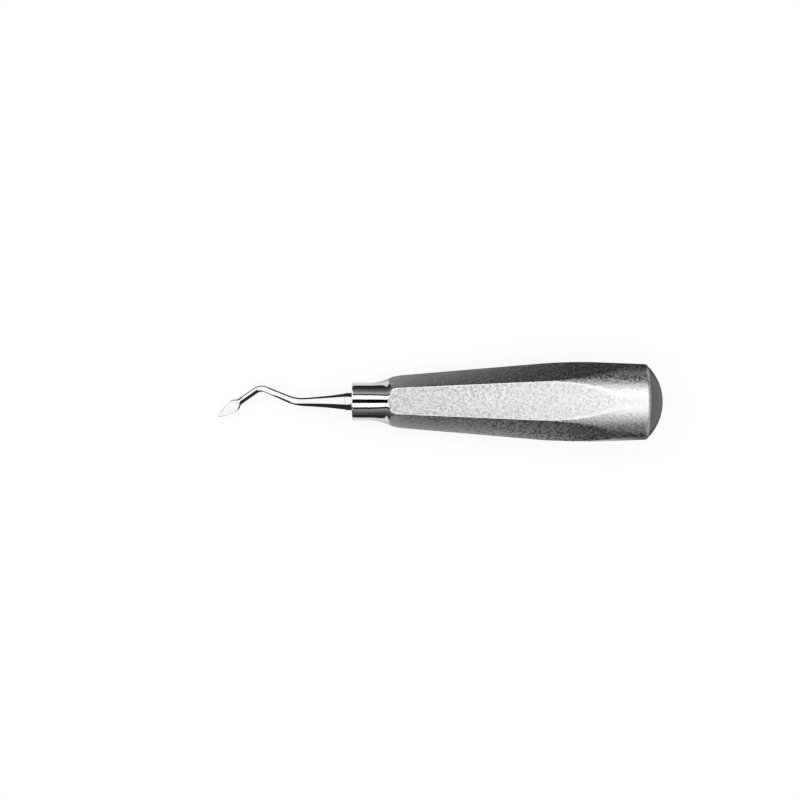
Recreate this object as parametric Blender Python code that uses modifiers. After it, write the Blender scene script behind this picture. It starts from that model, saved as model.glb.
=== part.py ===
"""Bone scraper: a bent leaf-bladed hand instrument with a hollow six-sided steel handle.

Three solids: the handle, the butt cap that closes it, and the working end whose tang fits the collar.
They are modelled along the handle's axis, local +Z towards the butt, with z = 0 on the collar's
front face. An empty then lays the instrument on one of the handle's flats, with the blade towards -X.
"""
import math

import bmesh
import bpy
from mathutils import Matrix, Vector

MM = 0.001

# Turned form of the handle, as stations along the axis and radii
HANDLE_LENGTH = 89.1 * MM
COLLAR_RIM_RADIUS = 5.88 * MM
COLLAR_RIM_ROUNDING = 0.35 * MM
COLLAR_WAIST_RADIUS = 5.8 * MM
COLLAR_WAIST_STATION = 4.6 * MM
FLARE_START = 8.0 * MM
FLARE_ANGLE = math.radians(24.2)
FLARE_THROAT_RADIUS = 13.9 * MM
FLARE_CREST_RADIUS = 12.6 * MM
BELLY_STATION = 65.0 * MM
BELLY_ROUNDING = 160.0 * MM
REAR_TAPER = math.radians(2.23)
REAR_EDGE_RADIUS = 1.5 * MM
REAR_EDGE_SWEEP = math.radians(60.0)

# Six flats that lean away from the axis towards the butt
FLAT_COUNT = 6
FLAT_APOTHEM = 5.95 * MM
FLAT_ANGLE = math.radians(4.17)
CORNER_LAND_DROP = 0.04 * MM

# Inside of the handle
TANG_RADIUS = 2.0 * MM
TANG_LENGTH = 16.0 * MM
TANG_CHAMFER = 0.2 * MM
TANG_CLEARANCE = 0.3 * MM
TANG_BORE_DEPTH = 18.0 * MM
HANDLE_WALL = 1.6 * MM
CHAMBER_FRONT_STATION = 21.0 * MM
CHAMBER_WIDE_STATION = 62.0 * MM
CAP_SEAT_LEDGE = 0.4 * MM
CAP_SEAT_DEPTH = 6.0 * MM

# Butt cap
CAP_RISE = 4.3 * MM
SPIGOT_CLEARANCE = 0.3 * MM
SPIGOT_LENGTH = 5.0 * MM
SPIGOT_CHAMFER = 0.4 * MM
SPIGOT_WALL = 1.5 * MM
CAP_RECESS_DEPTH = 4.6 * MM

# Working end: a shoulder on the collar's face, a tapered shank with two bends, and a leaf blade
SHOULDER_RADIUS = 2.63 * MM
SHOULDER_LENGTH = 2.35 * MM
SHOULDER_STEP = 0.16 * MM
SHANK_ROOT_RADIUS = 2.5 * MM
SHANK_RADIUS = 0.94 * MM
TAPER_LENGTH = 30.0 * MM
TAPER_POWER = 2.8
REAR_LEG_LENGTH = 15.35 * MM
REAR_LEG_LEAN = math.radians(-0.7)
REAR_BEND_RADIUS = 13.5 * MM
MIDDLE_LEG_LENGTH = 11.8 * MM
MIDDLE_LEG_LEAN = math.radians(22.7)
FRONT_BEND_RADIUS = 3.4 * MM
FRONT_LEG_LENGTH = 15.88 * MM
FRONT_LEG_LEAN = math.radians(-34.8)
RELIEF_START = 15.6 * MM
RELIEF_RUN_IN = 1.4 * MM
RELIEF_SIDES = 9
BLADE_LENGTH = 6.4 * MM
BLADE_HALF_WIDTH = 1.8 * MM
BLADE_LEAF_POWER = 0.8
BLADE_NECK_LENGTH = 2.2 * MM
BLADE_FACE_HEIGHT = 0.55 * MM
BLADE_BACK_HEIGHT = 0.7 * MM
BLADE_EDGE_BEVEL = 0.36 * MM
BLADE_WALL_HEIGHT = 0.28 * MM
BLADE_TIP_HEIGHT = 0.09 * MM
BLADE_BEVEL_WIDEST_SHARE = 0.3
BLADE_WALL_START = 0.3

# Fineness of the meshes
TURNED_STEPS = 84
CREST_STEPS = 6
BELLY_STEPS = 6
THROAT_STEPS = 7
RIM_STEPS = 4
REAR_EDGE_STEPS = 6
DOME_STEPS = 9
SHANK_SIDES = 36
BEVEL_SWEEP = math.radians(35.0)
REAR_BEND_STEPS = 8
FRONT_BEND_STEPS = 9
TAPER_SPACING = 1.3 * MM
LEG_SPACING = 2.0 * MM
NECK_STEPS = 6
LEAF_STEPS = 10
LEAF_SPACING_POWER = 1.2
MERGE_DISTANCE = 0.00001
CUTTER_OVERRUN = 15.0 * MM


def clear_scene():
    for obj in list(bpy.data.objects):
        bpy.data.objects.remove(obj, do_unlink=True)


def make_collection(name):
    collection = bpy.data.collections.new(name)
    bpy.context.scene.collection.children.link(collection)
    return collection


def make_material(name, colour, metallic, roughness):
    material = bpy.data.materials.new(name)
    material.use_nodes = True
    principled = material.node_tree.nodes["Principled BSDF"]
    principled.inputs["Base Color"].default_value = (*colour, 1.0)
    principled.inputs["Metallic"].default_value = metallic
    principled.inputs["Roughness"].default_value = roughness
    return material


def add_mesh_object(name, mesh, collection, parent):
    obj = bpy.data.objects.new(name, mesh)
    collection.objects.link(obj)
    obj.parent = parent
    return obj


def smoothstep(value):
    value = min(1.0, max(0.0, value))
    return value * value * (3.0 - 2.0 * value)


def fillet(before, corner, after, radius, steps):
    """Points of the arc of this radius that rounds the corner of an outline."""
    to_before = (before - corner).normalized()
    to_after = (after - corner).normalized()
    half_angle = to_before.angle(to_after) / 2.0
    reach = radius / math.tan(half_angle)
    centre = corner + (to_before + to_after).normalized() * (radius / math.sin(half_angle))
    start = corner + to_before * reach - centre
    end = corner + to_after * reach - centre
    sweep = start.angle(end)
    points = []
    for step in range(steps + 1):
        share = step / steps
        weight_start = math.sin((1.0 - share) * sweep) / math.sin(sweep)
        weight_end = math.sin(share * sweep) / math.sin(sweep)
        points.append(centre + start * weight_start + end * weight_end)
    return points


def turned_solid(name, outline, collection, parent):
    """A solid of revolution. The outline is (radius, station) points, outer side from the butt down."""
    closed = outline[0].x > MERGE_DISTANCE
    bm = bmesh.new()
    verts = [bm.verts.new((point.x, 0.0, point.y)) for point in outline]
    for start, end in zip(verts, verts[1:]):
        bm.edges.new((start, end))
    if closed:
        bm.edges.new((verts[-1], verts[0]))
    mesh = bpy.data.meshes.new(name)
    bm.to_mesh(mesh)
    bm.free()
    obj = add_mesh_object(name, mesh, collection, parent)
    screw = obj.modifiers.new("Turn", 'SCREW')
    screw.axis = 'Z'
    screw.steps = TURNED_STEPS
    screw.render_steps = TURNED_STEPS
    screw.use_merge_vertices = True
    screw.merge_threshold = MERGE_DISTANCE
    screw.use_smooth_shade = True
    return obj


def flat_distance(station):
    """Distance from the axis to each flat, at a station along the axis."""
    return FLAT_APOTHEM + math.tan(FLAT_ANGLE) * station


def blank_radius(station):
    """Turned radius in front of the belly: just inside the sharp corners between the flats."""
    return flat_distance(station) / math.cos(math.pi / FLAT_COUNT) - CORNER_LAND_DROP


def rear_edge_arc(steps):
    """The rounded rear edge of the handle, from the end face to the cone behind the belly."""
    centre_station = HANDLE_LENGTH - REAR_EDGE_RADIUS * math.sin(REAR_EDGE_SWEEP)
    cone_radius = blank_radius(BELLY_STATION) - math.tan(REAR_TAPER) * (centre_station - BELLY_STATION)
    centre_radius = cone_radius - REAR_EDGE_RADIUS / math.cos(REAR_TAPER)
    points = []
    for step in range(steps + 1):
        angle = REAR_EDGE_SWEEP + (REAR_TAPER - REAR_EDGE_SWEEP) * step / steps
        points.append(Vector((centre_radius + REAR_EDGE_RADIUS * math.cos(angle),
                              centre_station + REAR_EDGE_RADIUS * math.sin(angle))))
    return points


def chamber_radius(station):
    """Inside radius that leaves the wall's thickness under the flats."""
    return flat_distance(station) - HANDLE_WALL


def cap_seat_radius():
    return chamber_radius(CHAMBER_WIDE_STATION) + CAP_SEAT_LEDGE


def handle_outline():
    """Closed outline of the turned and bored handle, from the rear edge round to the cap seat."""
    flare_rise = math.tan(FLARE_ANGLE)
    blank_rise = (blank_radius(BELLY_STATION) - blank_radius(0.0)) / BELLY_STATION
    crest_station = ((blank_radius(0.0) - COLLAR_WAIST_RADIUS + flare_rise * FLARE_START)
                     / (flare_rise - blank_rise))
    rear_arc = rear_edge_arc(REAR_EDGE_STEPS)
    belly = Vector((blank_radius(BELLY_STATION), BELLY_STATION))
    crest = Vector((blank_radius(crest_station), crest_station))
    throat = Vector((COLLAR_WAIST_RADIUS, FLARE_START))
    waist = Vector((COLLAR_WAIST_RADIUS, COLLAR_WAIST_STATION))
    rim = Vector((COLLAR_RIM_RADIUS, 0.0))
    bore_radius = TANG_RADIUS + TANG_CLEARANCE
    bore_mouth = Vector((bore_radius, 0.0))
    seat_station = HANDLE_LENGTH - CAP_SEAT_DEPTH
    outline = list(rear_arc)
    outline += fillet(rear_arc[-1], belly, crest, BELLY_ROUNDING, BELLY_STEPS)
    outline += fillet(belly, crest, throat, FLARE_CREST_RADIUS, CREST_STEPS)
    outline += fillet(crest, throat, waist, FLARE_THROAT_RADIUS, THROAT_STEPS)
    outline.append(waist)
    outline += fillet(waist, rim, bore_mouth, COLLAR_RIM_ROUNDING, RIM_STEPS)
    outline.append(bore_mouth)
    outline.append(Vector((bore_radius, TANG_BORE_DEPTH)))
    outline.append(Vector((chamber_radius(CHAMBER_FRONT_STATION), CHAMBER_FRONT_STATION)))
    outline.append(Vector((chamber_radius(CHAMBER_WIDE_STATION), CHAMBER_WIDE_STATION)))
    outline.append(Vector((chamber_radius(CHAMBER_WIDE_STATION), seat_station)))
    outline.append(Vector((cap_seat_radius(), seat_station)))
    outline.append(Vector((cap_seat_radius(), HANDLE_LENGTH)))
    return outline


def add_flats_cutter(collection, parent):
    """The six-sided cone that the flats lie on, longer than the handle at both ends."""
    front = -CUTTER_OVERRUN
    rear = HANDLE_LENGTH + CUTTER_OVERRUN
    to_corner = 1.0 / math.cos(math.pi / FLAT_COUNT)
    bm = bmesh.new()
    bmesh.ops.create_cone(bm, cap_ends=True, segments=FLAT_COUNT,
                          radius1=flat_distance(front) * to_corner,
                          radius2=flat_distance(rear) * to_corner,
                          depth=rear - front)
    bmesh.ops.translate(bm, verts=bm.verts, vec=(0.0, 0.0, (front + rear) / 2.0))
    mesh = bpy.data.meshes.new("flats_cutter")
    bm.to_mesh(mesh)
    bm.free()
    cutter = add_mesh_object("flats_cutter", mesh, collection, parent)
    cutter.hide_render = True
    cutter.display_type = 'WIRE'
    return cutter


def build_handle(parts, cutters, axis, material):
    handle = turned_solid("handle", handle_outline(), parts, axis)
    flats = handle.modifiers.new("Flats", 'BOOLEAN')
    flats.operation = 'INTERSECT'
    flats.solver = 'EXACT'
    flats.object = add_flats_cutter(cutters, axis)
    handle.data.materials.append(material)


def build_butt_cap(parts, axis, material):
    """A domed cup: its flange meets the handle's end face and its spigot fills the seat."""
    rim = rear_edge_arc(1)[0]
    dome_radius = (rim.x ** 2 + CAP_RISE ** 2) / (2.0 * CAP_RISE)
    dome_centre = HANDLE_LENGTH + CAP_RISE - dome_radius
    rim_angle = math.asin(rim.x / dome_radius)
    outline = []
    for ring in range(DOME_STEPS + 1):
        angle = rim_angle * ring / DOME_STEPS
        outline.append(Vector((dome_radius * math.sin(angle), dome_centre + dome_radius * math.cos(angle))))
    spigot_radius = cap_seat_radius() - SPIGOT_CLEARANCE
    recess_radius = spigot_radius - SPIGOT_WALL
    spigot_end = HANDLE_LENGTH - SPIGOT_LENGTH
    recess_floor = spigot_end + CAP_RECESS_DEPTH
    outline.append(Vector((spigot_radius, HANDLE_LENGTH)))
    outline.append(Vector((spigot_radius, spigot_end + SPIGOT_CHAMFER)))
    outline.append(Vector((spigot_radius - SPIGOT_CHAMFER, spigot_end)))
    outline.append(Vector((recess_radius, spigot_end)))
    outline.append(Vector((recess_radius, recess_floor)))
    outline.append(Vector((0.0, recess_floor)))
    cap = turned_solid("butt_cap", outline, parts, axis)
    cap.data.materials.append(material)


def leg_end(start, length, lean):
    """End of a straight leg that points towards the blade, leaning to the side by an angle."""
    return start + Vector((math.sin(lean), -math.cos(lean))) * length


def shank_corners():
    """Shoulder, both bends and the blade's tip, as (side, station) points."""
    root = Vector((0.0, -SHOULDER_LENGTH))
    rear_bend = leg_end(root, REAR_LEG_LENGTH, REAR_LEG_LEAN)
    front_bend = leg_end(rear_bend, MIDDLE_LEG_LENGTH, MIDDLE_LEG_LEAN)
    tip = leg_end(front_bend, FRONT_LEG_LENGTH, FRONT_LEG_LEAN)
    return root, rear_bend, front_bend, tip


def spaced(start, end, spacing):
    """Points strictly between two others, about this far apart."""
    count = max(1, round((end - start).length / spacing))
    return [start.lerp(end, step / count) for step in range(1, count)]


def blade_stations(leg_length):
    """Distances from the tip, along the last leg, where the blade and its neck have a section."""
    neck_end = BLADE_LENGTH + BLADE_NECK_LENGTH
    leg = [neck_end + (leg_length - neck_end) * share for share in (0.6, 0.3, 0.0)]
    neck = [BLADE_LENGTH + BLADE_NECK_LENGTH * step / NECK_STEPS
            for step in range(NECK_STEPS - 1, -1, -1)]
    leaf = [BLADE_LENGTH * (step / LEAF_STEPS) ** LEAF_SPACING_POWER
            for step in range(LEAF_STEPS - 1, 0, -1)]
    return leg + neck + leaf


def shank_path():
    """Centreline from the shoulder almost to the tip, with both bends rounded."""
    root, rear_bend, front_bend, tip = shank_corners()
    rear_arc = fillet(root, rear_bend, front_bend, REAR_BEND_RADIUS, REAR_BEND_STEPS)
    front_arc = fillet(rear_bend, front_bend, tip, FRONT_BEND_RADIUS, FRONT_BEND_STEPS)
    last_leg = front_arc[-1] - tip
    blade_points = [tip + last_leg.normalized() * distance for distance in blade_stations(last_leg.length)]
    path = [root]
    path += spaced(root, rear_arc[0], TAPER_SPACING)
    path += rear_arc
    path += spaced(rear_arc[-1], front_arc[0], LEG_SPACING)
    path += front_arc
    return path + blade_points


def blade_half_width(distance):
    """Half width of the blade in plan, at a distance from its tip."""
    if distance <= BLADE_LENGTH:
        return BLADE_HALF_WIDTH * math.sin(math.pi / 2.0 * (distance / BLADE_LENGTH) ** BLADE_LEAF_POWER)
    narrowing = smoothstep((distance - BLADE_LENGTH) / BLADE_NECK_LENGTH)
    return BLADE_HALF_WIDTH + (SHANK_RADIUS - BLADE_HALF_WIDTH) * narrowing


def shank_section(radius):
    """A round section as (across, up) points."""
    points = []
    for side in range(SHANK_SIDES):
        angle = 2.0 * math.pi * (side + 0.5) / SHANK_SIDES
        points.append(Vector((radius * math.cos(angle), radius * math.sin(angle))))
    return points


def relieved_section(radius, depth):
    """A round section whose upper outer quarter is ground towards a flat, by a share of the full depth."""
    points = shank_section(radius)
    first = points[-1]
    last = points[RELIEF_SIDES - 1]
    for step in range(1, RELIEF_SIDES):
        ground = first.lerp(last, step / RELIEF_SIDES)
        points[step - 1] = points[step - 1].lerp(ground, depth)
    return points


def blade_section(distance):
    """Flat face above with bevelled edges, low walls at the sides and a rounded back."""
    half_width = blade_half_width(distance)
    growth = min(1.0, distance / BLADE_LENGTH)
    face = BLADE_TIP_HEIGHT + (BLADE_FACE_HEIGHT - BLADE_TIP_HEIGHT) * growth
    back = BLADE_TIP_HEIGHT + (BLADE_BACK_HEIGHT - BLADE_TIP_HEIGHT) * growth
    wall = BLADE_WALL_HEIGHT * smoothstep((growth - BLADE_WALL_START) / (1.0 - BLADE_WALL_START))
    bevel = min(BLADE_EDGE_BEVEL, half_width * BLADE_BEVEL_WIDEST_SHARE)
    points = []
    for side in range(SHANK_SIDES):
        angle = 2.0 * math.pi * (side + 0.5) / SHANK_SIDES
        if angle > math.pi:
            points.append(Vector((half_width * math.cos(angle),
                                  (back - wall) * math.sin(angle) - wall)))
            continue
        from_edge = min(angle, math.pi - angle)
        hand = 1.0 if angle < math.pi / 2.0 else -1.0
        if from_edge <= BEVEL_SWEEP:
            share = from_edge / BEVEL_SWEEP
            across = half_width - bevel * share
            up = wall + (face - wall) * share
        else:
            share = (math.pi / 2.0 - from_edge) / (math.pi / 2.0 - BEVEL_SWEEP)
            across = (half_width - bevel) * share
            up = face
        points.append(Vector((hand * across, up)))
    return points


def section_at(travelled, to_tip):
    """Section of the shank or blade: round, relieved after the front bend, flat from the neck to the tip."""
    taper = max(0.0, 1.0 - travelled / TAPER_LENGTH) ** TAPER_POWER
    radius = SHANK_RADIUS + (SHANK_ROOT_RADIUS - SHANK_RADIUS) * taper
    shank = relieved_section(radius, smoothstep((RELIEF_START - to_tip) / RELIEF_RUN_IN))
    flatness = 1.0 - smoothstep((to_tip - BLADE_LENGTH) / BLADE_NECK_LENGTH)
    if flatness == 0.0:
        return shank
    return [shank_point.lerp(blade_point, flatness)
            for shank_point, blade_point in zip(shank, blade_section(to_tip))]


def add_ring(bm, point, direction, section):
    """A ring of vertices square to the path. Local -X is up, towards the blade's face."""
    across = Vector((direction.y, -direction.x))
    return [bm.verts.new((-offset.y, point.x + across.x * offset.x, point.y + across.y * offset.x))
            for offset in section]


def join_rings(bm, first, second):
    for side in range(SHANK_SIDES):
        following = (side + 1) % SHANK_SIDES
        bm.faces.new((first[side], first[following], second[following], second[side]))


def build_working_end(parts, axis, material):
    """One loft from the tang to the blade's tip, because no two stretches share a section."""
    forward = Vector((0.0, -1.0))
    tip = shank_corners()[-1]
    turned = [(TANG_LENGTH, TANG_RADIUS - TANG_CHAMFER), (TANG_LENGTH - TANG_CHAMFER, TANG_RADIUS),
              (0.0, TANG_RADIUS), (0.0, SHOULDER_RADIUS),
              (SHOULDER_STEP - SHOULDER_LENGTH, SHOULDER_RADIUS)]
    bm = bmesh.new()
    rings = [add_ring(bm, Vector((0.0, station)), forward, shank_section(radius))
             for station, radius in turned]
    path = shank_path()
    travelled = 0.0
    for index, point in enumerate(path):
        if index > 0:
            travelled += (point - path[index - 1]).length
        following = path[index + 1] if index + 1 < len(path) else tip
        previous = path[index - 1] if index > 0 else point - forward
        direction = ((point - previous).normalized() + (following - point).normalized()).normalized()
        rings.append(add_ring(bm, point, direction, section_at(travelled, (point - tip).length)))
    for first, second in zip(rings, rings[1:]):
        join_rings(bm, first, second)
    bm.faces.new(rings[0])
    point_vert = bm.verts.new((0.0, tip.x, tip.y))
    for side in range(SHANK_SIDES):
        bm.faces.new((rings[-1][side], rings[-1][(side + 1) % SHANK_SIDES], point_vert))
    bmesh.ops.recalc_face_normals(bm, faces=bm.faces)
    mesh = bpy.data.meshes.new("working_end")
    bm.to_mesh(mesh)
    bm.free()
    mesh.shade_smooth()
    mesh.set_sharp_from_angle(angle=math.radians(30.0))
    working_end = add_mesh_object("working_end", mesh, parts, axis)
    working_end.data.materials.append(material)


def lay_on_flat(parts, axis):
    """Lay the instrument on its lowest flat, centred over the origin with its lowest point at z = 0."""
    axis.rotation_euler = (0.0, math.pi / 2.0 - FLAT_ANGLE, 0.0)
    bpy.context.view_layer.update()
    depsgraph = bpy.context.evaluated_depsgraph_get()
    corners = []
    for obj in parts.objects:
        evaluated = obj.evaluated_get(depsgraph)
        mesh = evaluated.to_mesh()
        corners += [evaluated.matrix_world @ vertex.co for vertex in mesh.vertices]
        evaluated.to_mesh_clear()
    low = Vector([min(corner[i] for corner in corners) for i in range(3)])
    high = Vector([max(corner[i] for corner in corners) for i in range(3)])
    axis.matrix_world = Matrix.Translation((-(low.x + high.x) / 2.0, -(low.y + high.y) / 2.0, -low.z)) \
        @ axis.matrix_world


def main():
    clear_scene()
    parts = make_collection("bone_scraper")
    cutters = make_collection("cutters")
    axis = bpy.data.objects.new("instrument_axis", None)
    bpy.context.scene.collection.objects.link(axis)
    blasted = make_material("blasted_stainless", (0.52, 0.52, 0.52), 1.0, 0.5)
    turned = make_material("turned_stainless", (0.45, 0.45, 0.45), 1.0, 0.35)
    polished = make_material("polished_stainless", (0.75, 0.75, 0.75), 1.0, 0.1)
    build_handle(parts, cutters, axis, blasted)
    build_butt_cap(parts, axis, turned)
    build_working_end(parts, axis, polished)
    lay_on_flat(parts, axis)


main()
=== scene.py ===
"""Looks of the bone scraper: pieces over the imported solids, their steel finishes and a studio."""
import math

import bmesh
import bpy
import numpy as np
from mathutils import Matrix, Vector


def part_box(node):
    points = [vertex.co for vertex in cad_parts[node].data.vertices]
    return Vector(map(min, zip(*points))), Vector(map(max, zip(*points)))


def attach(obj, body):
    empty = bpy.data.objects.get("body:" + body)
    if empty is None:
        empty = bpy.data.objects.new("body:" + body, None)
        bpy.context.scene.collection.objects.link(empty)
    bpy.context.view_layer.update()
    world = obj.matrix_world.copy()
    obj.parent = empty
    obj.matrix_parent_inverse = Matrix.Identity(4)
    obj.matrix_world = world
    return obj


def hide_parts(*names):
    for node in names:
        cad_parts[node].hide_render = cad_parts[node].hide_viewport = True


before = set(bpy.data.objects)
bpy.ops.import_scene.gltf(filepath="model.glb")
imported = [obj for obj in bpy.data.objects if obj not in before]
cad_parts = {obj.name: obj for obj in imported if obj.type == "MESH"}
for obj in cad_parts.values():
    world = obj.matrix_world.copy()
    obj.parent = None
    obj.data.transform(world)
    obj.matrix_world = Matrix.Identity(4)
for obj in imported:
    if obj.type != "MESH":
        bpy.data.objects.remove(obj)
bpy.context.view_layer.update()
MM = 0.001

# Turned form of the handle, as stations from the collar's front face and radii. The collar's rim is
# crisper than the solid's, so that the mirrored bands reach it as in the photo
HANDLE_LENGTH = 89.1 * MM
COLLAR_RIM_RADIUS = 5.88 * MM
COLLAR_RIM_ROUNDING = 0.18 * MM
COLLAR_WAIST_RADIUS = 5.8 * MM
COLLAR_WAIST_STATION = 4.6 * MM
WAIST_ROUNDING = 40.0 * MM
FLARE_START = 8.0 * MM
FLARE_ANGLE = math.radians(24.2)
FLARE_THROAT_RADIUS = 13.9 * MM
FLARE_CREST_RADIUS = 12.6 * MM
BELLY_STATION = 65.0 * MM
BELLY_ROUNDING = 160.0 * MM
REAR_TAPER = math.radians(2.23)
REAR_EDGE_RADIUS = 1.5 * MM
REAR_EDGE_SWEEP = math.radians(60.0)

# The flats, and how far their corners are softened
FLAT_COUNT = 6
HALF_SECTOR = math.pi / FLAT_COUNT
FLAT_APOTHEM = 5.95 * MM
FLAT_ANGLE = math.radians(4.17)
CORNER_LAND_DROP = 0.04 * MM
CORNER_SOFTNESS = 0.1 * MM

# The polish ends in a scallop at the front of each flat. The flats run in just behind it, but the
# one that the handle rests on is pressed all along, so that nothing goes below the floor
POLISH_END = 11.04 * MM
POLISH_SCALLOP = 1.36 * MM
POLISH_SCALLOP_POWER = 1.3
SCALLOP_REACH = 3.0 * MM
FLAT_RUN_IN = 0.25 * MM
RESTING_SECTOR = 0

# Bore of the handle and the butt cap
BORE_RADIUS = 2.3 * MM
BORE_DEPTH = 18.0 * MM
HANDLE_WALL = 1.6 * MM
CHAMBER_FRONT_STATION = 21.0 * MM
CHAMBER_WIDE_STATION = 62.0 * MM
CAP_SEAT_LEDGE = 0.4 * MM
CAP_SEAT_DEPTH = 6.0 * MM
CAP_RISE = 4.3 * MM
CAP_EDGE_RADIUS = 0.12 * MM
SPIGOT_CLEARANCE = 0.3 * MM
SPIGOT_LENGTH = 5.0 * MM
SPIGOT_CHAMFER = 0.4 * MM
SPIGOT_WALL = 1.5 * MM
CAP_RECESS_DEPTH = 4.6 * MM

# Working end: its tang, and how long its ground face is and how far that faces up
TANG_LENGTH = 16.0 * MM
TANG_END_RADIUS = 1.8 * MM
GROUND_LENGTH = 7.6 * MM
GROUND_FACING = 0.75

# The instrument's axis starts at the collar's front face and climbs towards the butt
TANG_REACH = TANG_LENGTH * math.cos(FLAT_ANGLE) + TANG_END_RADIUS * math.sin(FLAT_ANGLE)
AXIS_ORIGIN = Vector((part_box("working_end")[1].x - TANG_REACH, 0.0,
                      FLAT_APOTHEM * math.cos(FLAT_ANGLE)))
AXIS_MATRIX = Matrix.Translation(AXIS_ORIGIN) @ Matrix.Rotation(math.pi / 2.0 - FLAT_ANGLE, 4, 'Y')

# Fineness of the meshes: steps of arcs, spacing of the rings, and how the solid's facets are joined
SECTOR_STEPS = 24
RIM_STEPS = 6
WAIST_STEPS = 4
BEND_STEPS = 16
REAR_EDGE_STEPS = 10
DOME_STEPS = 40
CAP_EDGE_STEPS = 4
FINE_SPACING = 0.25 * MM
RUN_OUT_SPACING = 0.5 * MM
FLAT_SPACING = 2.0 * MM
FINE_START = 8.0 * MM
FINE_END = 15.0 * MM
RUN_OUT_START = 56.0 * MM
MERGE_DISTANCE = 0.0001 * MM
WELD_DISTANCE = 0.001 * MM
FACET_ANGLE = math.radians(12.0)
FACET_SHAPE_ANGLE = math.radians(60.0)

# Edges sharper than this stay crisp in the shading
HANDLE_SHARP_ANGLE = math.radians(30.0)
DOME_SHARP_ANGLE = math.radians(12.0)
SHANK_SHARP_ANGLE = math.radians(28.0)

# Camera: straight down but for a small lean, as far off as the photo's perspective says
CAMERA_TARGET = Vector((-11.64, 0.50, 6.96)) * MM
CAMERA_DISTANCE = 517.0 * MM
CAMERA_LEAN = math.radians(1.5)
CAMERA_ROLL = math.radians(0.18)
CAMERA_LENS = 76.5
CAMERA_SENSOR = 36.0
CAMERA_CLIP = (0.01, 20.0)

# Pattern sizes. Beads of 0.1 mm leave dents too fine to show, so they are drawn as coarse as they
# show. The limits are the levels of the noise at the bottom of the dents and on the ridges
BEAD_DENT = 0.7 * MM
BEAD_DENT_DEPTH = 0.09 * MM
BEAD_DENT_LIMITS = (0.36, 0.64)
BUFFING_BLOTCH = 1.8 * MM
STRIP_BLOTCH = 0.9 * MM
GRINDING_PITCH = 0.12 * MM
GRINDING_STRETCH = 0.08
BLADE_HEADING = math.radians(34.8)
SCRATCH_DEPTH = 0.004 * MM
RING_PITCH = 0.35 * MM
TURNING_SPECK = 0.3 * MM
TURNING_SPECK_LIMITS = (0.3, 0.7)
# Length of one wave of Blender's wave texture at a scale of 1
WAVE_LENGTH = 0.314

# Roughness of the finishes, from where it is least to where it is most
BLASTED_ROUGHNESS = (0.16, 0.47)
BUFFED_ROUGHNESS = (0.04, 0.09)
STRIP_POLISHED_ROUGHNESS = (0.07, 0.12)
GROUND_ROUGHNESS = 0.3
TURNED_ROUGHNESS = 0.34

# Sockets of the Mix node that share their names, by place
NUMBER_A = 2
NUMBER_B = 3
COLOUR_A = 6
COLOUR_B = 7
COLOUR_RESULT = 2

# World: white to the camera, with long soft boxes along X that the steel mirrors as bright bands.
# The stops are the light by the angle from overhead, in degrees, positive towards the far side: on
# the blade's side, and on the butt's. The camera's level makes up for a background colour of 0.8
CAMERA_LEVEL = 1.25
END_LEVEL = 0.25
END_SHARE = (0.85, 0.97)
REAR_SHARE = (-0.1, 0.05)
FRONT_STOPS = (
    (-108, 0.03), (-90, 0.08), (-70, 0.18), (-58, 0.38), (-48, 0.5), (-47, 0.02), (-36, 0.02),
    (-35, 2.2), (-11, 2.2), (-10, 0.0), (12, 0.0), (13, 2.45), (36, 2.45), (37, 0.03), (46, 0.05),
    (47, 0.9), (58, 0.45), (70, 0.2), (85, 0.08), (108, 0.03),
)
REAR_STOPS = (
    (-110, 0.02), (-85, 0.06), (-75, 0.25), (-60, 0.85), (-48, 1.1), (-36, 1.45), (-20, 1.8),
    (-9, 1.85), (-6, 1.4), (5, 1.4), (8, 1.95), (20, 1.95), (36, 1.9), (46, 1.4), (58, 0.65),
    (66, 0.05), (90, 0.02),
)

# Floor: its look to the camera, and the lit strip along the handle that the steel sees: how far
# that reaches, how it spreads in front of the collar, and its level by X. Behind the butt the floor
# is a plain grey. Spans and stops by X are in mm
FLOOR_SPAN = (-1500.0, 1500.0)
FLOOR_GLOW = 0.86
FLOOR_COLOUR = "#6E6E6E"
STRIP_NEAR_REACH = 23.0 * MM
STRIP_FAR_REACH = 25.5 * MM
STRIP_CROSSING = (-1.0 * MM, 1.0 * MM)
STRIP_SOFTNESS = 2.0 * MM
STRIP_SPREAD_START = -24.4 * MM
STRIP_SPREAD_END = -100.0 * MM
STRIP_SPREAD = 1.2
STRIP_SPAN = (-100.0, 100.0)
NEAR_STRIP_STOPS = (
    (-22, 1.05), (-16, 0.55), (-5, 0.53), (4, 0.75), (16, 1.1), (34, 1.75), (42, 1.6), (54, 0.6),
    (66, 0.1), (80, 0.02),
)
FAR_STRIP_STOPS = (
    (-22, 1.05), (-16, 0.36), (-5, 0.29), (4, 0.285), (16, 0.25), (34, 0.17), (42, 0.06),
    (50, 0.02),
)
BUTT_FLOOR = (73.0 * MM, 80.0 * MM)
BUTT_FLOOR_LEVEL = 0.45
FLAG_LEVEL = 0.03

# Card that fills the dark gap over the handle, by X, and a black flag to keep the gap over the
# collar. The places of these and of all the cards below are in mm
GAP_CARD_SPAN = (-60.0, 120.0)
GAP_CARD_WIDTH = (-14.0, 17.0)
GAP_CARD_HEIGHT = 95.0
GAP_CARD_STOPS = (
    (-60, 0.66), (-19, 0.64), (3, 0.78), (25, 0.98), (39, 1.0), (49, 1.05), (66, 1.35), (80, 1.5),
)
COLLAR_FLAG_SPAN = (-75.0, -22.0)
COLLAR_FLAG_WIDTH = (-3.9, 4.5)
COLLAR_FLAG_HEIGHT = 30.0

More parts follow.
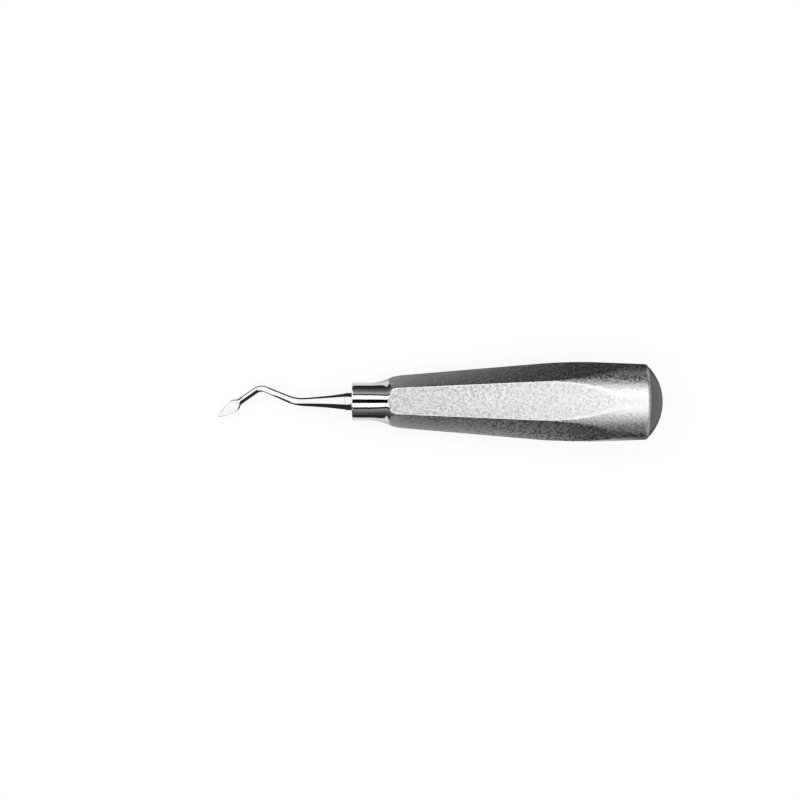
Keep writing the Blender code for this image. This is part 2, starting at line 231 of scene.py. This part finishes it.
# Small tent of cards round the shank: white over it and beside it, dark low down and beside its
# rear leg. The skirts are rows of (X, height) points, where the walls turn from dark to white
TENT_FRONT = -85.0
TENT_ROOT = -30.4
TENT_BACK = -27.4
TENT_NEAR = -8.5
TENT_NOTCH = -4.675
TENT_FAR = 10.0
TENT_TOP = 17.0
TENT_FLOOR_HEIGHT = 0.1
TENT_LEVEL = 1.55
FAR_SKIRT = (
    (TENT_BACK, 13.0), (-31.7, 10.2), (-37.4, 8.0), (-50.0, 7.4), (-52.0, 4.9), (-68.5, 4.9),
    (-69.5, 13.0), (-73.5, 13.0), (-74.5, 0.5), (TENT_FRONT, 0.5),
)
NEAR_SKIRT = (
    (TENT_BACK, 15.8), (-44.0, 15.8), (-47.0, 8.5), (-49.5, 6.5), (-50.5, 13.0), (-56.5, 13.0),
    (-57.5, 3.5), (TENT_FRONT, 3.5),
)

# Dark cards that carry the tent's floor and skirts on to the shoulder, and spare the collar
SHOULDER_SPAN = (TENT_BACK, -26.1)
SHOULDER_WIDTH = (-4.5, 4.5)
SHOULDER_HEIGHTS = (10.0, 8.6)

# Lighter cards on the tent's floor, which the bevels of the blade mirror: (X, Y) corners
BLADE_FLOOR_HEIGHT = 0.2
BLADE_FLOOR_NEAR_LEVEL = 0.55
BLADE_FLOOR_FAR_LEVEL = 1.2
BLADE_FLOOR_NEAR = ((TENT_FRONT, TENT_NEAR), (-58.5, TENT_NEAR), (-58.5, -4.5), (TENT_FRONT, -4.5))
BLADE_FLOOR_FAR = (
    (TENT_FRONT, -4.5), (-63.8, -4.5), (-63.8, -1.0), (-70.3, TENT_FAR), (TENT_FRONT, TENT_FAR),
)


def linear(hex_colour):
    """An sRGB hex colour as a linear RGBA tuple."""
    channels = []
    for start in (1, 3, 5):
        value = int(hex_colour[start:start + 2], 16) / 255.0
        channels.append(value / 12.92 if value <= 0.04045 else ((value + 0.055) / 1.055) ** 2.4)
    return (*channels, 1.0)


def add_node(tree, kind, inputs=None, **settings):
    """A node with its settings. An input takes either a value or the socket that feeds it."""
    node = tree.nodes.new(kind)
    for name, value in settings.items():
        setattr(node, name, value)
    for socket, value in (inputs or {}).items():
        if isinstance(value, bpy.types.NodeSocket):
            tree.links.new(value, node.inputs[socket])
        else:
            node.inputs[socket].default_value = value
    return node


def calculated(tree, operation, *values):
    node = add_node(tree, "ShaderNodeMath", dict(enumerate(values)), operation=operation)
    return node.outputs["Value"]


def lerp_range(tree, value, start, end, low=0.0, high=1.0, interpolation_type='LINEAR'):
    return add_node(tree, "ShaderNodeMapRange", {
        "Value": value, "From Min": start, "From Max": end, "To Min": low, "To Max": high,
    }, interpolation_type=interpolation_type).outputs["Result"]


def mixed(tree, factor, first, second):
    """A number between two numbers."""
    return add_node(tree, "ShaderNodeMix", {
        "Factor": factor, NUMBER_A: first, NUMBER_B: second}, data_type='FLOAT').outputs[0]


def ramp(tree, factor, stops):
    """A tone curve given as (position, grey level) stops."""
    node = add_node(tree, "ShaderNodeValToRGB", {"Fac": factor})
    elements = node.color_ramp.elements
    while len(elements) < len(stops):
        elements.new(1.0)
    for element, (position, level) in zip(elements, stops):
        element.position = position
        element.color = (level, level, level, 1.0)
    return node.outputs["Color"]


def level_along(tree, x, span, stops):
    """A level by X, as (X, level) stops. They and the span are in mm."""
    start, end = span
    along = lerp_range(tree, x, start * MM, end * MM)
    return ramp(tree, along, [((position - start) / (end - start), level)
                              for position, level in stops])


def level_round(tree, angle, stops):
    """A level by the angle from overhead, as (degrees, level) stops."""
    turn = lerp_range(tree, angle, -math.pi, math.pi)
    return ramp(tree, turn, [(degrees / 360.0 + 0.5, level) for degrees, level in stops])


def object_coordinates(tree):
    return add_node(tree, "ShaderNodeTexCoord").outputs["Object"]


def components(tree, vector):
    return tuple(add_node(tree, "ShaderNodeSeparateXYZ", {"Vector": vector}).outputs)


def along_axis(tree):
    """Object coordinates turned so that their Z runs along the handle's axis."""
    moved = add_node(tree, "ShaderNodeMapping", {
        "Vector": object_coordinates(tree),
        "Location": -AXIS_ORIGIN,
    })
    turned = add_node(tree, "ShaderNodeMapping", {
        "Vector": moved.outputs["Vector"],
        "Rotation": (0.0, FLAT_ANGLE - math.pi / 2.0, 0.0),
    })
    return turned.outputs["Vector"]


def grain(tree, size, detail=2.0):
    """Noise whose blotches are about this size in metres."""
    return add_node(tree, "ShaderNodeTexNoise", {
        "Vector": object_coordinates(tree),
        "Scale": 1.0 / size,
        "Detail": detail,
        "Roughness": 0.6,
    }).outputs["Fac"]


def raised(tree, height, depth, strength=1.0):
    """The normal of a surface that this pattern raises by up to this depth."""
    return add_node(tree, "ShaderNodeBump", {
        "Height": height,
        "Strength": strength,
        "Distance": depth,
    }).outputs["Normal"]


def two_tone(tree, pattern, limits, dark, light):
    """A colour that goes from the dark to the light one as the pattern goes between its limits."""
    return add_node(tree, "ShaderNodeMix", {
        "Factor": lerp_range(tree, pattern, *limits),
        COLOUR_A: linear(dark),
        COLOUR_B: linear(light),
    }, data_type='RGBA').outputs[COLOUR_RESULT]


def new_material(name, surface):
    """A material with the shader that this function gives when it has added its nodes."""
    material = bpy.data.materials.new(name)
    material.use_nodes = True
    tree = material.node_tree
    tree.nodes.clear()
    add_node(tree, "ShaderNodeOutputMaterial", {"Surface": surface(tree)})
    return material


def steel(name, colour, roughness, bump=None):
    """A metal surface. Its colour and roughness are constants, or functions that add nodes."""
    def surface(tree):
        inputs = {
            "Metallic": 1.0,
            "Base Color": colour(tree) if callable(colour) else linear(colour),
            "Roughness": roughness(tree) if callable(roughness) else roughness,
        }
        if bump:
            inputs["Normal"] = bump(tree)
        return add_node(tree, "ShaderNodeBsdfPrincipled", inputs).outputs["BSDF"]
    return new_material(name, surface)


def blasted_bump(tree):
    return raised(tree, grain(tree, BEAD_DENT), BEAD_DENT_DEPTH)


def blasted_tone_and_dent_shade(tree):
    """Painted shade: the dents are a little darker than the ridges between them."""
    dents = grain(tree, BEAD_DENT, detail=3.0)
    return two_tone(tree, dents, BEAD_DENT_LIMITS, "#CECECE", "#E6E6E6")


def blasted_spread(tree):
    """The rougher ridges catch the soft boxes from afar, so the shaded flats sparkle."""
    dents = grain(tree, BEAD_DENT, detail=3.0)
    return lerp_range(tree, dents, *BEAD_DENT_LIMITS, *BLASTED_ROUGHNESS)


def blasted_stainless():
    """Stainless steel, glass-bead blasted: a matt, sparkling grain under soft tones."""
    return steel("blasted_stainless", blasted_tone_and_dent_shade, blasted_spread, bump=blasted_bump)


def polish_haze(tree):
    """The buffing wheel leaves a slightly uneven mirror."""
    return lerp_range(tree, grain(tree, BUFFING_BLOTCH), 0.0, 1.0, *BUFFED_ROUGHNESS)


def polished_stainless():
    """Stainless steel, buffed to a mirror: hard black and white bands of the studio."""
    return steel("polished_stainless", "#CCCCCC", polish_haze)


def satin_haze(tree):
    """The polishing strip leaves a finer, duller haze."""
    return lerp_range(tree, grain(tree, STRIP_BLOTCH), 0.0, 1.0, *STRIP_POLISHED_ROUGHNESS)


def shank_stainless():
    """Stainless steel, polished with a fine strip: a bright core with soft dark flanks."""
    return steel("strip_polished_stainless", "#CCCCCC", satin_haze)


def grinding_lines(tree):
    """Fine grinding scratches across the blade."""
    stretched = add_node(tree, "ShaderNodeMapping", {
        "Vector": object_coordinates(tree),
        "Rotation": (0.0, 0.0, BLADE_HEADING),
        "Scale": (1.0, GRINDING_STRETCH, 1.0),
    })
    scratches = add_node(tree, "ShaderNodeTexNoise", {
        "Vector": stretched.outputs["Vector"],
        "Scale": 1.0 / GRINDING_PITCH,
        "Detail": 2.0,
    })
    return raised(tree, scratches.outputs["Fac"], SCRATCH_DEPTH, strength=0.35)


def ground_stainless():
    """Stainless steel, flat ground: an even silvery face that holds no sharp reflection."""
    return steel("ground_stainless", "#C6C6C6", GROUND_ROUGHNESS, bump=grinding_lines)


def turning_rings(tree):
    """The lathe tool's rings round the dome."""
    rings = add_node(tree, "ShaderNodeTexWave", {
        "Vector": along_axis(tree),
        "Scale": WAVE_LENGTH / RING_PITCH,
    }, wave_type='RINGS', rings_direction='Z')
    return raised(tree, rings.outputs["Fac"], SCRATCH_DEPTH, strength=0.5)


def turned_tint(tree):
    """The tool's torn specks."""
    return two_tone(tree, grain(tree, TURNING_SPECK), TURNING_SPECK_LIMITS, "#747474", "#9A9A9A")


def turned_stainless():
    """Stainless steel, finely turned: an even satin tone with the trace of rings."""
    return steel("turned_stainless", turned_tint, TURNED_ROUGHNESS, bump=turning_rings)


def fillet(before, corner, after, radius, steps):
    """Points of the arc of this radius that rounds the corner of an outline."""
    to_before = (before - corner).normalized()
    to_after = (after - corner).normalized()
    half_angle = to_before.angle(to_after) / 2.0
    centre = corner + (to_before + to_after).normalized() * (radius / math.sin(half_angle))
    start = corner + to_before * (radius / math.tan(half_angle)) - centre
    end = corner + to_after * (radius / math.tan(half_angle)) - centre
    sweep = start.angle(end)
    points = []
    for step in range(steps + 1):
        share = step / steps
        points.append(centre + start * (math.sin((1.0 - share) * sweep) / math.sin(sweep))
                      + end * (math.sin(share * sweep) / math.sin(sweep)))
    return points


def flat_distance(station):
    """How far the flats lie from the axis."""
    return FLAT_APOTHEM + math.tan(FLAT_ANGLE) * station


def blank_radius(station):
    """Radius of the turned blank, a little under the corners between the flats."""
    return flat_distance(station) / math.cos(HALF_SECTOR) - CORNER_LAND_DROP


def rear_edge_arc(steps):
    """The rounded rear edge of the handle, from the end face to the cone behind the belly."""
    centre_station = HANDLE_LENGTH - REAR_EDGE_RADIUS * math.sin(REAR_EDGE_SWEEP)
    cone_radius = (blank_radius(BELLY_STATION)
                   - math.tan(REAR_TAPER) * (centre_station - BELLY_STATION))
    centre_radius = cone_radius - REAR_EDGE_RADIUS / math.cos(REAR_TAPER)
    points = []
    for step in range(steps + 1):
        angle = REAR_EDGE_SWEEP + (REAR_TAPER - REAR_EDGE_SWEEP) * step / steps
        points.append(Vector((centre_radius + REAR_EDGE_RADIUS * math.cos(angle),
                              centre_station + REAR_EDGE_RADIUS * math.sin(angle))))
    return points


def skin_outline():
    """Outer outline of the turned handle, from the collar's rim to the rear edge."""
    flare_rise = math.tan(FLARE_ANGLE)
    blank_rise = (blank_radius(BELLY_STATION) - blank_radius(0.0)) / BELLY_STATION
    crest_station = ((blank_radius(0.0) - COLLAR_WAIST_RADIUS + flare_rise * FLARE_START)
                     / (flare_rise - blank_rise))
    bore = Vector((BORE_RADIUS, 0.0))
    rim = Vector((COLLAR_RIM_RADIUS, 0.0))
    waist = Vector((COLLAR_WAIST_RADIUS, COLLAR_WAIST_STATION))
    throat = Vector((COLLAR_WAIST_RADIUS, FLARE_START))
    crest = Vector((blank_radius(crest_station), crest_station))
    belly = Vector((blank_radius(BELLY_STATION), BELLY_STATION))
    rear_arc = rear_edge_arc(REAR_EDGE_STEPS)[::-1]
    outline = fillet(bore, rim, waist, COLLAR_RIM_ROUNDING, RIM_STEPS)
    outline += fillet(rim, waist, throat, WAIST_ROUNDING, WAIST_STEPS)
    outline += fillet(waist, throat, crest, FLARE_THROAT_RADIUS, BEND_STEPS)
    outline += fillet(throat, crest, belly, FLARE_CREST_RADIUS, BEND_STEPS)
    outline += fillet(crest, belly, rear_arc[0], BELLY_ROUNDING, BEND_STEPS)
    return outline + rear_arc


def ring_stations(outline):
    """Stations of the rings: close at the polish's end and where the flats run out."""
    rim_end = outline[RIM_STEPS].y
    rear_edge_start = outline[-REAR_EDGE_STEPS - 1].y
    stretches = (
        (rim_end, FINE_START, RUN_OUT_SPACING),
        (FINE_START, POLISH_END, FINE_SPACING),
        (POLISH_END, FINE_END, FINE_SPACING),
        (FINE_END, RUN_OUT_START, FLAT_SPACING),
        (RUN_OUT_START, rear_edge_start, RUN_OUT_SPACING),
    )
    stations = []
    for start, end, spacing in stretches:
        count = max(1, round((end - start) / spacing))
        stations += [start + (end - start) * step / count for step in range(count)]
    return stations + [rear_edge_start]


def sort_faces(bm):
    """Order the faces by their corners, since a spin makes them in an order that changes each run."""
    bm.verts.index_update()
    ordered = sorted(bm.faces, key=lambda face: sorted(vert.index for vert in face.verts))
    for index, face in enumerate(ordered):
        face.index = index
    bm.faces.sort()


def spin_outline(outline, closed):
    """A mesh turned from (radius, station) points about local Z."""
    bm = bmesh.new()
    verts = [bm.verts.new((point.x, 0.0, point.y)) for point in outline]
    pairs = list(zip(verts, verts[1:]))
    if closed:
        pairs.append((verts[-1], verts[0]))
    edges = [bm.edges.new(pair) for pair in pairs]
    bmesh.ops.spin(bm, geom=verts + edges, cent=(0.0, 0.0, 0.0), axis=(0.0, 0.0, 1.0),
                   angle=2.0 * math.pi, steps=SECTOR_STEPS * FLAT_COUNT, use_merge=True)
    bmesh.ops.remove_doubles(bm, verts=bm.verts, dist=MERGE_DISTANCE)
    bmesh.ops.recalc_face_normals(bm, faces=bm.faces)
    sort_faces(bm)
    return bm


def soft_min(first, second, softness):
    """The lower of two sizes, with the corner between them rounded."""
    overlap = max(softness - abs(first - second), 0.0) / softness
    return min(first, second) - overlap * overlap * softness / 4.0


def smoothstep(value):
    value = min(1.0, max(0.0, value))
    return value * value * (3.0 - 2.0 * value)


def press_flats(bm, outline):
    """Press the spun blank down onto the six flats, with softened corners."""
    stations = [point.y for point in outline]
    radii = [point.x for point in outline]
    for vert in bm.verts:
        station = vert.co.z
        radius = math.hypot(vert.co.x, vert.co.y)
        inside = radius < np.interp(station, stations, radii) - MERGE_DISTANCE
        if inside or station < COLLAR_WAIST_STATION:
            continue
        angle = math.atan2(vert.co.y, vert.co.x)
        sector = round(angle / (2.0 * HALF_SECTOR))
        share = angle / HALF_SECTOR - 2.0 * sector
        across = HALF_SECTOR * math.sin(share * math.pi / 2.0)
        angle = 2.0 * HALF_SECTOR * sector + across
        pressed = smoothstep((station - POLISH_END) / FLAT_RUN_IN)
        if sector == RESTING_SECTOR:
            pressed = 1.0
        closeness = 1.0 - smoothstep(abs(station - POLISH_END) / SCALLOP_REACH)
        station += POLISH_SCALLOP * abs(across / HALF_SECTOR) ** POLISH_SCALLOP_POWER * closeness
        turned = np.interp(station, stations, radii)
        distance = flat_distance(station)
        flat = soft_min(distance / math.cos(across),
                        distance / math.cos(2.0 * HALF_SECTOR - abs(across)), CORNER_SOFTNESS)
        radius = turned + (soft_min(turned, flat, CORNER_SOFTNESS) - turned) * pressed
        vert.co = Vector((radius * math.cos(angle), radius * math.sin(angle), station))


def add_piece(bm, name, materials, nodes, slot_name, sharp_angle):
    """Make a piece, shaded smooth but for its sharp edges and the line where its finish changes."""
    for face in bm.faces:
        face.smooth = True
    for edge in bm.edges:
        first, second = edge.link_faces
        edge.smooth = (edge.calc_face_angle() < sharp_angle
                       and first.material_index == second.material_index)
    mesh = bpy.data.meshes.new(name)
    bm.to_mesh(mesh)
    bm.free()
    piece = bpy.data.objects.new(name, mesh)
    bpy.context.scene.collection.objects.link(piece)
    for material in materials:
        mesh.materials.append(material)
    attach(piece, "root")
    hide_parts(*nodes)


def add_turned_piece(bm, *details):
    """Lay a piece modelled along local Z on the instrument's axis, and make it an object."""
    bmesh.ops.transform(bm, matrix=AXIS_MATRIX, verts=bm.verts)
    add_piece(bm, *details)


def build_handle(materials):
    """Collar, flare, flats and round rear, hollow as the solid is."""
    skin = skin_outline()
    stations = [point.y for point in skin]
    radii = [point.x for point in skin]
    chamber_front = flat_distance(CHAMBER_FRONT_STATION) - HANDLE_WALL
    chamber_wide = flat_distance(CHAMBER_WIDE_STATION) - HANDLE_WALL
    seat_radius = chamber_wide + CAP_SEAT_LEDGE
    seat_station = HANDLE_LENGTH - CAP_SEAT_DEPTH
    outline = skin[:RIM_STEPS]
    outline += [Vector((np.interp(station, stations, radii), station))
                for station in ring_stations(skin)]
    outline += skin[-REAR_EDGE_STEPS:]
    outline += [Vector(point) for point in (
        (seat_radius, HANDLE_LENGTH),
        (seat_radius, seat_station),
        (chamber_wide, seat_station),
        (chamber_wide, CHAMBER_WIDE_STATION),
        (chamber_front, CHAMBER_FRONT_STATION),
        (BORE_RADIUS, BORE_DEPTH),
        (BORE_RADIUS, 0.0),
    )]
    bm = spin_outline(outline, closed=True)
    for face in bm.faces:
        face.material_index = 0 if face.calc_center_median().z < POLISH_END else 1
    press_flats(bm, skin)
    add_turned_piece(bm, "handle_body", materials, ["handle"], "blasted_stainless",
                     HANDLE_SHARP_ANGLE)


def build_butt_cap(material):
    """The dome with its broken edge at the seam, over the spigot that holds it."""
    rim_radius = rear_edge_arc(1)[0].x
    dome_radius = (rim_radius ** 2 + CAP_RISE ** 2) / (2.0 * CAP_RISE)
    dome_centre = HANDLE_LENGTH + CAP_RISE - dome_radius
    rim_angle = math.asin(rim_radius / dome_radius)
    dome = []
    for step in range(DOME_STEPS + 1):
        angle = rim_angle * step / DOME_STEPS
        dome.append(Vector((dome_radius * math.sin(angle),
                            dome_centre + dome_radius * math.cos(angle))))
    rim = dome.pop()
    spigot_radius = (flat_distance(CHAMBER_WIDE_STATION) - HANDLE_WALL + CAP_SEAT_LEDGE
                     - SPIGOT_CLEARANCE)
    spigot_end = HANDLE_LENGTH - SPIGOT_LENGTH
    recess_radius = spigot_radius - SPIGOT_WALL
    recess_station = spigot_end + CAP_RECESS_DEPTH
    root = Vector((spigot_radius, HANDLE_LENGTH))
    outline = dome + fillet(dome[-1], rim, root, CAP_EDGE_RADIUS, CAP_EDGE_STEPS)
    outline.append(root)
    outline += [Vector(point) for point in (
        (spigot_radius, spigot_end + SPIGOT_CHAMFER),
        (spigot_radius - SPIGOT_CHAMFER, spigot_end),
        (recess_radius, spigot_end),
        (recess_radius, recess_station),
        (0.0, recess_station),
    )]
    bm = spin_outline(outline, closed=False)
    add_turned_piece(bm, "butt_dome", [material], ["butt_cap"], "turned_stainless",
                     DOME_SHARP_ANGLE)


def build_working_end(materials):
    """The shank and blade: the solid's own form, its facets smoothed out."""
    bm = bmesh.new()
    bm.from_mesh(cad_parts["working_end"].data)
    bmesh.ops.remove_doubles(bm, verts=bm.verts, dist=WELD_DISTANCE)
    bmesh.ops.join_triangles(bm, faces=bm.faces, angle_face_threshold=FACET_ANGLE,
                             angle_shape_threshold=FACET_SHAPE_ANGLE)
    bmesh.ops.recalc_face_normals(bm, faces=bm.faces)
    tip = min((vert.co for vert in bm.verts), key=lambda corner: corner.x).copy()
    for face in bm.faces:
        near_tip = (face.calc_center_median() - tip).length < GROUND_LENGTH
        face.material_index = 1 if near_tip and face.normal.z > GROUND_FACING else 0
    add_piece(bm, "shank_and_blade", materials, ["working_end"], "polished_stainless",
              SHANK_SHARP_ANGLE)


def glow(tree, strength):
    return add_node(tree, "ShaderNodeEmission", {"Strength": strength}).outputs["Emission"]


def is_camera_ray(tree):
    return add_node(tree, "ShaderNodeLightPath").outputs["Is Camera Ray"]


def floor_surface(tree):
    """White to the camera but for the shadow. In metal it shows as a lit strip, dark beyond."""
    x, y, _ = components(tree, object_coordinates(tree))
    level = mixed(tree, lerp_range(tree, y, *STRIP_CROSSING),
                  level_along(tree, x, STRIP_SPAN, NEAR_STRIP_STOPS),
                  level_along(tree, x, STRIP_SPAN, FAR_STRIP_STOPS))
    reach = lerp_range(tree, y, *STRIP_CROSSING, low=STRIP_NEAR_REACH, high=STRIP_FAR_REACH)
    spread = lerp_range(tree, x, STRIP_SPREAD_END, STRIP_SPREAD_START,
                        low=(STRIP_SPREAD_START - STRIP_SPREAD_END) * STRIP_SPREAD, high=0.0)
    beyond = calculated(tree, 'SUBTRACT', calculated(tree, 'ABSOLUTE', y),
                        calculated(tree, 'ADD', reach, spread))
    strip = calculated(tree, 'MULTIPLY', level,
                       lerp_range(tree, beyond, 0.0, STRIP_SOFTNESS, low=1.0, high=0.0))
    plain = lerp_range(tree, x, *BUTT_FLOOR, low=FLAG_LEVEL, high=BUTT_FLOOR_LEVEL)
    diffuse = add_node(tree, "ShaderNodeBsdfDiffuse", {"Color": linear(FLOOR_COLOUR)})
    seen = add_node(tree, "ShaderNodeAddShader", {
        0: diffuse.outputs["BSDF"], 1: glow(tree, FLOOR_GLOW)})
    return add_node(tree, "ShaderNodeMixShader", {
        0: is_camera_ray(tree),
        1: glow(tree, calculated(tree, 'MAXIMUM', strip, plain)),
        2: seen.outputs["Shader"],
    }).outputs["Shader"]


def card_material(name, level):
    return new_material(name, lambda tree: glow(tree, level))


def gap_card_surface(tree):
    x, _, _ = components(tree, object_coordinates(tree))
    return glow(tree, level_along(tree, x, GAP_CARD_SPAN, GAP_CARD_STOPS))


def add_plane(name, material, corners):
    """A flat thing of the studio, from its corners in mm."""
    bm = bmesh.new()
    bm.faces.new([bm.verts.new([size * MM for size in corner]) for corner in corners])
    mesh = bpy.data.meshes.new(name)
    bm.to_mesh(mesh)
    bm.free()
    plane = bpy.data.objects.new(name, mesh)
    bpy.context.scene.collection.objects.link(plane)
    mesh.materials.append(material)
    return plane


def add_card(name, material, corners):
    """A card that only the metal sees."""
    card = add_plane(name, material, corners)
    card.visible_camera = False
    card.visible_diffuse = False
    card.visible_shadow = False


def rectangle(span, width):
    (front, back), (near, far) = span, width
    return (front, near), (back, near), (back, far), (front, far)


def lying(outline, height):
    """Corners of a level card, from (X, Y) points."""
    return [(x, y, height) for x, y in outline]


def standing(outline, y):
    """Corners of an upright card along X, from (X, height) points."""
    return [(x, y, height) for x, height in outline]


def add_tent():
    """Cards round the shank."""
    white = card_material("white_card", TENT_LEVEL)
    dark = card_material("dark_card", FLAG_LEVEL)
    for side, skirt in ((TENT_FAR, FAR_SKIRT), (TENT_NEAR, NEAR_SKIRT)):
        for (back, back_height), (front, front_height) in zip(skirt, skirt[1:]):
            edge = ((front, front_height), (back, back_height))
            add_card("tent_skirt", dark, standing(((back, 0.0), (front, 0.0), *edge), side))
            add_card("tent_wall", white,
                     standing(((back, TENT_TOP), (front, TENT_TOP), *edge), side))
    add_card("tent_roof", white, lying(
        ((TENT_FRONT, TENT_NEAR), (TENT_ROOT, TENT_NEAR), (TENT_BACK, TENT_NOTCH),
         (TENT_BACK, TENT_FAR), (TENT_FRONT, TENT_FAR)), TENT_TOP))
    add_card("tent_flag", dark, lying(
        ((TENT_ROOT, TENT_NEAR), (TENT_BACK, TENT_NEAR), (TENT_BACK, TENT_NOTCH)), TENT_TOP))
    add_card("tent_floor", dark, lying(
        rectangle((TENT_FRONT, TENT_BACK), (TENT_NEAR, TENT_FAR)), TENT_FLOOR_HEIGHT))
    add_card("shoulder_floor", dark, lying(
        rectangle(SHOULDER_SPAN, SHOULDER_WIDTH), TENT_FLOOR_HEIGHT))
    for side, height in zip(SHOULDER_WIDTH, SHOULDER_HEIGHTS):
        add_card("shoulder_skirt", dark, standing(rectangle(SHOULDER_SPAN, (0.0, height)), side))
    add_card("blade_floor", card_material("grey_card", BLADE_FLOOR_NEAR_LEVEL),
             lying(BLADE_FLOOR_NEAR, BLADE_FLOOR_HEIGHT))
    add_card("blade_floor", card_material("pale_card", BLADE_FLOOR_FAR_LEVEL),
             lying(BLADE_FLOOR_FAR, BLADE_FLOOR_HEIGHT))


def add_gap_cards():
    """The graded card over the handle, and the flag under it over the collar."""
    add_card("gap_card", new_material("graded_card", gap_card_surface),
             lying(rectangle(GAP_CARD_SPAN, GAP_CARD_WIDTH), GAP_CARD_HEIGHT))
    add_card("collar_flag", card_material("black_card", 0.0),
             lying(rectangle(COLLAR_FLAG_SPAN, COLLAR_FLAG_WIDTH), COLLAR_FLAG_HEIGHT))


def add_studio():
    add_plane("floor", new_material("pale_floor", floor_surface),
              lying(rectangle(FLOOR_SPAN, FLOOR_SPAN), 0.0))
    add_tent()
    add_gap_cards()


def set_world():
    """White to the camera. To the steel: long soft boxes along X, dark sides and a dark gap."""
    world = bpy.data.worlds.new("studio")
    bpy.context.scene.world = world
    world.use_nodes = True
    tree = world.node_tree
    tree.nodes.clear()
    direction = add_node(tree, "ShaderNodeTexCoord").outputs["Generated"]
    x, y, z = components(tree, direction)
    angle = calculated(tree, 'ARCTAN2', y, z)
    rear_share = lerp_range(tree, x, *REAR_SHARE, interpolation_type='SMOOTHSTEP')
    boxes = mixed(tree, rear_share, level_round(tree, angle, FRONT_STOPS),
                  level_round(tree, angle, REAR_STOPS))
    end_share = lerp_range(tree, calculated(tree, 'ABSOLUTE', x), *END_SHARE,
                           interpolation_type='SMOOTHSTEP')
    level = mixed(tree, is_camera_ray(tree), mixed(tree, end_share, boxes, END_LEVEL), CAMERA_LEVEL)
    background = add_node(tree, "ShaderNodeBackground", {"Strength": level})
    add_node(tree, "ShaderNodeOutputWorld", {"Surface": background.outputs["Background"]})


def add_camera():
    data = bpy.data.cameras.new("camera")
    data.lens = CAMERA_LENS
    data.sensor_width = CAMERA_SENSOR
    data.clip_start, data.clip_end = CAMERA_CLIP
    camera = bpy.data.objects.new("camera", data)
    bpy.context.scene.collection.objects.link(camera)
    camera.rotation_euler = (CAMERA_LEAN, 0.0, CAMERA_ROLL)
    back = camera.rotation_euler.to_matrix() @ Vector((0.0, 0.0, CAMERA_DISTANCE))
    camera.location = CAMERA_TARGET + back
    bpy.context.scene.camera = camera


build_handle([polished_stainless(), blasted_stainless()])
build_butt_cap(turned_stainless())
build_working_end([shank_stainless(), ground_stainless()])
add_studio()
set_world()
add_camera()
bpy.context.scene.view_settings.view_transform = 'Standard'
